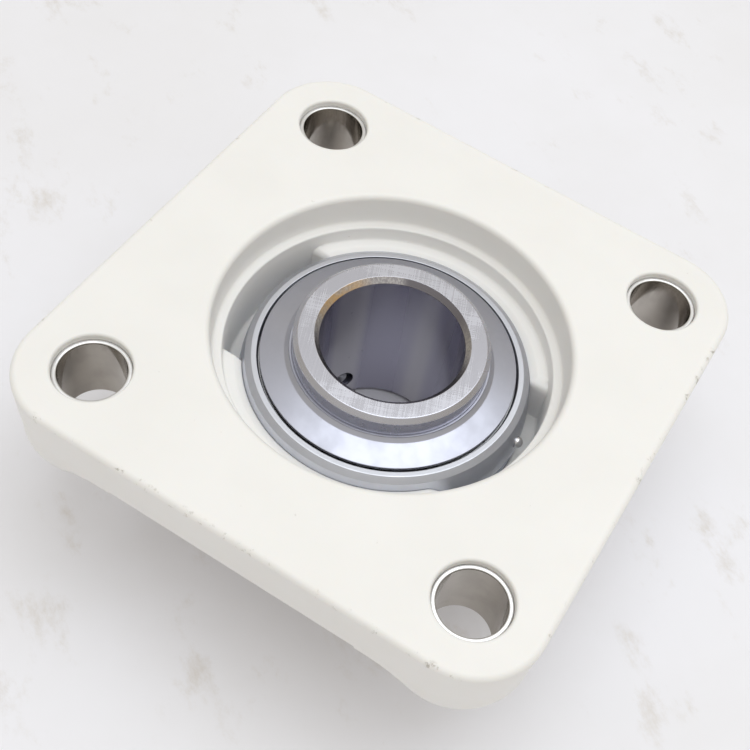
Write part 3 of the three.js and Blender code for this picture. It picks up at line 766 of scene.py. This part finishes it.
def inner_ring():
    n = INNER
    race = BALL.pitch - BALL.radius - BALL.gap + BALL.race
    race_end = math.degrees(math.acos((race - n.radius) / BALL.race))
    made = lathe("inner_ring", filleted([
        (n.bore, n.front + n.bore_chamfer, n.bore_edge), (n.bore + n.bore_chamfer, n.front, n.face_edge),
        (n.radius - n.chamfer, n.front, n.edge), (n.radius, n.front + n.chamfer, n.edge),
        *arc((race, 0), BALL.race, 180 + race_end, 180 - race_end, RACE_STEPS),
        (n.radius, n.back - n.chamfer, n.edge), (n.radius - n.chamfer, n.back, n.edge),
        (n.bore + n.bore_chamfer, n.back, n.face_edge), (n.bore, n.back - n.bore_chamfer, n.bore_edge),
    ]))
    start, end = n.bore - 2 * OVERRUN, n.radius + OVERRUN
    tool = filleted([
        (0, start), (SCREW.hole, start), (SCREW.hole, n.radius - SCREW.mouth_depth, SCREW.mouth_round),
        (SCREW.hole + SCREW.mouth_flare, end), (0, end),
    ])
    return combined(made, "DIFFERENCE", [
        lathe("screw_hole", tool, PLAIN, raised_by(SCREW.z) @ turned_to(turn)) for turn in SCREW.turns])


LEVEL = 0.95              # Z of the normal of a face that counts as level
SLANTED = 0.3             # Z of the normal of a face that counts as slanted
CHAMFER_REACH = 14        # the bore's chamfers lie within this radius
BORE_MARGIN = 0.1
RACE_REACH = OUTER.land + 2.2  # the outer race lies within this radius


def off_axis(face):
    return math.hypot(face.center.x, face.center.y)


def on_end_face(face):
    return abs(face.normal.z) > LEVEL


def on_chamfer(face):
    return off_axis(face) < CHAMFER_REACH and SLANTED < abs(face.normal.z) <= LEVEL


def in_bore(face):
    return off_axis(face) < INNER.bore + BORE_MARGIN


def on_race(face):
    return abs(face.center.z - CENTRE) < BALL.race


def on_outer_race(face):
    return off_axis(face) < RACE_REACH and on_race(face)


def set_screw(turn):
    """A grub screw along +Z, with a helical thread, a cup point inwards and a hexagon socket outwards."""
    s = SCREW

    def ring(z, radius_at):
        points = []
        for i in range(PLAIN):
            a, radius = 2 * math.pi * i / PLAIN, radius_at(i)
            points.append((radius * math.cos(a), radius * math.sin(a), z))
        return points

    def thread(z):
        fade = min(1.0, (s.end - z) / s.pitch, (z - s.cone) / s.pitch)

        def radius_at(i):
            phase = (z / s.pitch - i / PLAIN) % 1.0
            return s.radius - s.thread_depth * ((1 - fade) + fade * abs(2 * phase - 1))
        return ring(z, radius_at)

    cup = [(s.cup_foot, s.tip + s.cup_depth), (s.cup, s.tip + s.cup_edge), (s.cup + s.cup_rim, s.tip),
           (s.cup + s.cup_land, s.tip)]
    rings = [ring(z, lambda i, radius=radius: radius) for radius, z in cup]
    rise = s.pitch / THREAD_STEPS
    rings += [thread(s.cone + rise * step) for step in range(int((s.end - s.cone) / rise) + 1)]
    corner = s.socket / math.cos(math.pi / 6)
    cutter = hexagon_prism("socket", corner, s.socket_foot, s.end + OVERRUN)
    made = combined(loft("screw", rings), "DIFFERENCE", [cutter])
    made.data.transform(raised_by(s.z) @ turned_to(turn))
    return made


def flinger_outline():
    f = FLINGER
    return filleted([
        (f.fit, f.foot), (f.bend + f.inside, f.bend_z - f.wall, 0.4),
        (f.edge - f.draft, f.edge_z - f.wall, 0.1), (f.edge, f.edge_z, 0.15), (f.bend, f.bend_z, 0.6),
        (f.ramp, f.ramp_z, 0.25), (f.ramp - f.draft, f.top, 0.06), (f.fit, f.top, 0.06),
    ])


def seal_lip_outline():
    s = SEAL
    return filleted([
        (s.heel, s.low, 0.2), (s.outer, s.low, 0.15), (s.outer, s.high, 0.15), (s.root, s.high, 0.3),
        (s.heel, s.lip_top, 0.2), (s.lip, s.lip_top, 0.05), (s.lip, s.lip_foot, 0.05),
    ])


def seal_insert_outline():
    s = SEAL
    return filleted([
        (s.insert_inner, s.insert_low, 0.1), (s.insert_outer, s.insert_low, 0.1),
        (s.insert_outer, s.insert_high, 0.15), (s.insert_inner, s.insert_high, 0.15),
    ])


def on_pitch_circle(obj, index):
    """Moves a piece to the place of a ball, or of a rivet between two balls when index ends in a half."""
    a = 2 * math.pi * index / BALL.count
    obj.data.transform(Matrix.Translation((BALL.pitch * math.cos(a), BALL.pitch * math.sin(a), 0)))
    return obj


def ball(index):
    return on_pitch_circle(lathe("ball", arc((0, 0), BALL.radius, -90, 90, RACE_STEPS), BALL_FACETS), index)


def ribbon(radius, rise):
    """One pitch of the cage ribbon's skin: (distance along the pitch circle, height)."""
    half_pitch = math.pi * BALL.pitch / BALL.count
    start = math.degrees(math.asin(rise / radius))
    return [(-half_pitch, rise), *arc((0, 0), radius, 180 - start, start, CAGE.pocket_steps)]


def cage_half(facing):
    """A pressed ribbon that follows the balls, with a rivet hole between each two of them."""
    c = CAGE
    skins = list(zip(ribbon(c.pocket, c.split), ribbon(c.pocket + c.wall, c.split + c.wall)))
    rings = []
    for index in range(BALL.count):
        for (low_along, low), (high_along, high) in skins:
            section = filleted([(c.inner, low, c.edge), (c.outer, low, c.edge), (c.outer, high, c.edge),
                                (c.inner, high, c.edge)])
            ring = []
            for r, z in section:
                along = low_along + (high_along - low_along) * (z - low) / (high - low)
                a = along / BALL.pitch + 2 * math.pi * index / BALL.count
                ring.append((r * math.cos(a), r * math.sin(a), z * facing))
            rings.append(ring)
    hole = [(0, -RIVET.hole_reach), (RIVET.hole, -RIVET.hole_reach), (RIVET.hole, RIVET.hole_reach),
            (0, RIVET.hole_reach)]
    holes = [on_pitch_circle(lathe("hole", hole, TINY), index + 0.5) for index in range(BALL.count)]
    return combined(loft("cage_half", rings, endless=True), "DIFFERENCE", holes)


def rivet(index):
    """A rivet after the ball with this index, with a low dome at both ends."""
    r = RIVET
    dome = [(r.shank, r.head_low), (r.head, r.head_low),
            (r.head * r.shoulder, r.head_low + r.shoulder_rise),
            (r.head * r.crown, r.head_high - r.crown_drop), (0, r.head_high)]
    return on_pitch_circle(lathe("rivet", [*mirrored(dome), *dome], TINY), index + 0.5)


settled(bearing_height(outer_ring()), "outer_ring", "outer_steel", [("race_steel", on_outer_race)])
settled(bearing_height(pin()), "anti_rotation_pin", "ball_steel")
settled(bearing_height(inner_ring()), "inner_ring", "ring_steel", [
    ("chamfer_steel", on_chamfer), ("ground_steel", on_end_face), ("bore_steel", in_bore),
    ("race_steel", on_race)])
for index, turn in enumerate(SCREW.turns, 1):
    settled(bearing_height(set_screw(turn)), f"set_screw_{index}", "plain_steel")
turned_pairs = [
    ("flinger", flinger_outline(), "flinger_steel"),
    ("seal_lip", seal_lip_outline(), "seal_rubber"),
    ("seal_insert", seal_insert_outline(), "pressed_steel"),
]
for side, facing in (("back", list), ("front", mirrored)):
    for piece, outline, finish in turned_pairs:
        settled(bearing_height(lathe(piece, facing(outline))), f"{piece}_{side}", finish)
settled(bearing_height(cage_half(1)), "cage_half_back", "pressed_steel")
settled(bearing_height(cage_half(-1)), "cage_half_front", "pressed_steel")
for index in range(BALL.count):
    settled(bearing_height(ball(index)), f"ball_{index + 1}", "ball_steel")
    settled(bearing_height(rivet(index)), f"cage_rivet_{index + 1}", "pressed_steel")


# ---- grease nipple --------------------------------------------------------------------------------
def grease_nipple():
    n = NIPPLE
    body = radial(filleted([
        (0, n.thread_foot), (n.thread, n.thread_foot, 0.3), (n.thread, n.hex_low + n.hex_chamfer),
        (n.neck + n.neck_flare, n.hex_high), (n.neck, n.hex_high + n.neck_step, 0.3),
        (n.neck, n.neck_top, 0.3), (n.head, n.head_low, 0.3), (n.head, n.head_high, 0.5),
        (n.mouth, n.tip, 0.2), (0, n.tip),
    ]), n.turn)
    hexagon = hexagon_prism("hexagon", n.hexagon, n.hex_low, n.hex_high)
    hexagon.data.transform(raised_by(CENTRE) @ turned_to(n.turn))
    crown = n.hexagon + 2 * NUDGE
    inner, low, high = crown - 2 * n.hex_chamfer, n.hex_low - n.hex_reach, n.hex_high + n.hex_reach
    chamfered = radial([
        (0, low), (inner, low), (crown, n.hex_low + n.hex_chamfer), (crown, n.hex_high - n.hex_chamfer),
        (inner, high), (0, high),
    ], n.turn)
    start, end = n.thread_foot - OVERRUN, n.tip + OVERRUN
    bore = radial([(0, start), (n.bore, start), (n.bore, end), (0, end)], n.turn)
    made = combined(combined(hexagon, "INTERSECT", [chamfered]), "UNION", [body])
    return combined(made, "DIFFERENCE", [bore])


settled(grease_nipple(), "grease_nipple", "plain_steel")

# ---- table, light and camera, in metres -----------------------------------------------------------
TABLE = 3                 # half the table's side
table = new_object("table", [(-TABLE, -TABLE, 0), (TABLE, -TABLE, 0), (TABLE, TABLE, 0), (-TABLE, TABLE, 0)],
                   [(0, 1, 2, 3)])
table.data.materials.append(table_top())


def overhead_light(at, turn, length, width, power, colour):
    """A soft box that faces straight down, turned about the vertical."""
    data = bpy.data.lights.new("overhead", "AREA")
    data.shape = "RECTANGLE"
    data.size, data.size_y = length, width
    data.energy = power
    data.color = colour
    lamp = bpy.data.objects.new("overhead", data)
    lamp.location = at
    lamp.rotation_euler = (0, 0, math.radians(turn))
    bpy.context.scene.collection.objects.link(lamp)


overhead_light(at=(0.125, 0.18, 0.9), turn=43, length=0.9, width=0.72, power=3.45, colour=(0.9, 0.95, 1.0))


def studio_surroundings():
    """A pale room: bright overhead, greyer and warmer towards the horizon on the far side."""
    world = bpy.data.worlds.new("studio")
    bpy.context.scene.world = world
    world.use_nodes = True
    tree = world.node_tree
    source = tree.nodes.new("ShaderNodeTexCoord")
    parts = tree.nodes.new("ShaderNodeSeparateXYZ")
    tree.links.new(source.outputs["Generated"], parts.inputs["Vector"])
    height = remapped(tree, parts.outputs["Z"], 0.0, 0.95)
    near = remapped(tree, parts.outputs["Y"], -0.9, 0.3, 1.0, 0.0)
    brightness = calculated(tree, "MAXIMUM", height, calculated(tree, "MULTIPLY", near, 0.45))
    horizon, zenith = (0.42, 0.38, 0.295), (0.795, 0.775, 0.735)
    colour = mixed_colour(tree, brightness, horizon, zenith)
    tree.links.new(colour, tree.nodes["Background"].inputs["Color"])


studio_surroundings()

# The photograph's camera: place in millimetres, turn in degrees.
VIEW = Sizes(at=(45.45, -112.65, 191.39), turn=(33.48, -8.13, 30.79), lens=56.32, shift=(-0.0549, 0.0511))
camera = bpy.data.objects.new("camera", bpy.data.cameras.new("camera"))
camera.location = Vector(VIEW.at) * MM
camera.rotation_euler = [math.radians(a) for a in VIEW.turn]
camera.data.lens = VIEW.lens
camera.data.shift_x, camera.data.shift_y = VIEW.shift
camera.data.clip_start = 0.01
bpy.context.scene.collection.objects.link(camera)
bpy.context.scene.camera = camera
bpy.context.scene.view_settings.view_transform = "Standard"
